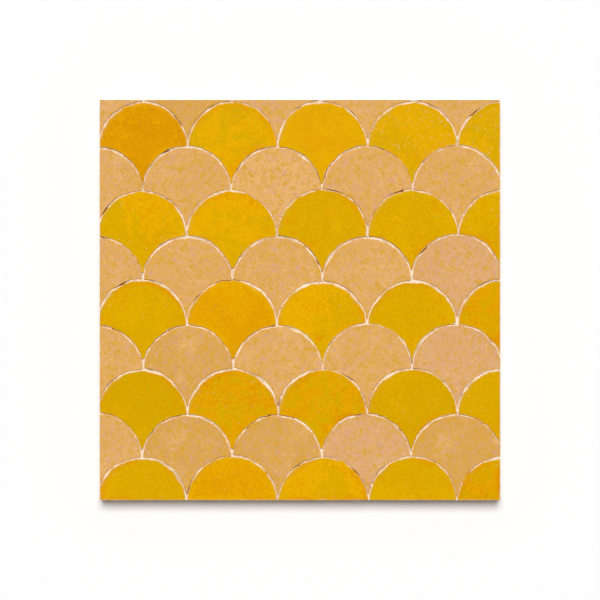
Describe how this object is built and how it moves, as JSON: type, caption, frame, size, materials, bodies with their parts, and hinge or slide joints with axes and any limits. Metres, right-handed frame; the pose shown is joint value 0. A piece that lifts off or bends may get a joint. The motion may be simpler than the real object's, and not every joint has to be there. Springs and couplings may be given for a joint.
{
  "type": "fish-scale mosaic tile",
  "caption": "Square mosaic tile of hand-cut fish-scale pieces, yellow glazed rows alternating with bare clay rows, set in a cast mortar bed with pale joints and a flat back.",
  "frame": {"origin": "middle of the flat back of the mortar bed", "axes": "+Z out of the mosaic face, +X along the rows of scales, +Y towards the edge that the crowns face"},
  "size_m": [0.3, 0.3, 0.015],
  "materials": {
    "yellow_glaze": "hand-brushed yellow glaze on fired clay, low gloss, mottled",
    "bare_clay": "bare fired clay, matt, finely speckled",
    "mortar": "pale lime and cement mortar, matt"
  },
  "bodies": {
    "root": {"clay_scale_1_1": "bare_clay", "clay_scale_1_2": "bare_clay", "clay_scale_1_3": "bare_clay", "clay_scale_1_4": "bare_clay", "clay_scale_1_5": "bare_clay", "clay_scale_2_1": "bare_clay", "clay_scale_2_2": "bare_clay", "clay_scale_2_3": "bare_clay", "clay_scale_2_4": "bare_clay", "clay_scale_2_5": "bare_clay", "clay_scale_3_1": "bare_clay", "clay_scale_3_2": "bare_clay", "clay_scale_3_3": "bare_clay", "clay_scale_3_4": "bare_clay", "clay_scale_3_5": "bare_clay", "clay_scale_4_1": "bare_clay", "clay_scale_4_2": "bare_clay", "clay_scale_4_3": "bare_clay", "clay_scale_4_4": "bare_clay", "clay_scale_4_5": "bare_clay", "clay_scale_5_1": "bare_clay", "clay_scale_5_2": "bare_clay", "clay_scale_5_3": "bare_clay", "clay_scale_5_4": "bare_clay", "clay_scale_5_5": "bare_clay", "mortar_bed": "mortar", "yellow_scale_1_1": "yellow_glaze", "yellow_scale_1_2": "yellow_glaze", "yellow_scale_1_3": "yellow_glaze", "yellow_scale_1_4": "yellow_glaze", "yellow_scale_1_5": "yellow_glaze", "yellow_scale_2_1": "yellow_glaze", "yellow_scale_2_2": "yellow_glaze", "yellow_scale_2_3": "yellow_glaze", "yellow_scale_2_4": "yellow_glaze", "yellow_scale_2_5": "yellow_glaze", "yellow_scale_3_1": "yellow_glaze", "yellow_scale_3_2": "yellow_glaze", "yellow_scale_3_3": "yellow_glaze", "yellow_scale_3_4": "yellow_glaze", "yellow_scale_3_5": "yellow_glaze", "yellow_scale_4_1": "yellow_glaze", "yellow_scale_4_2": "yellow_glaze", "yellow_scale_4_3": "yellow_glaze", "yellow_scale_4_4": "yellow_glaze", "yellow_scale_4_5": "yellow_glaze", "yellow_scale_5_1": "yellow_glaze", "yellow_scale_5_2": "yellow_glaze", "yellow_scale_5_3": "yellow_glaze", "yellow_scale_5_4": "yellow_glaze", "yellow_scale_5_5": "yellow_glaze"}
  },
  "joints": []
}
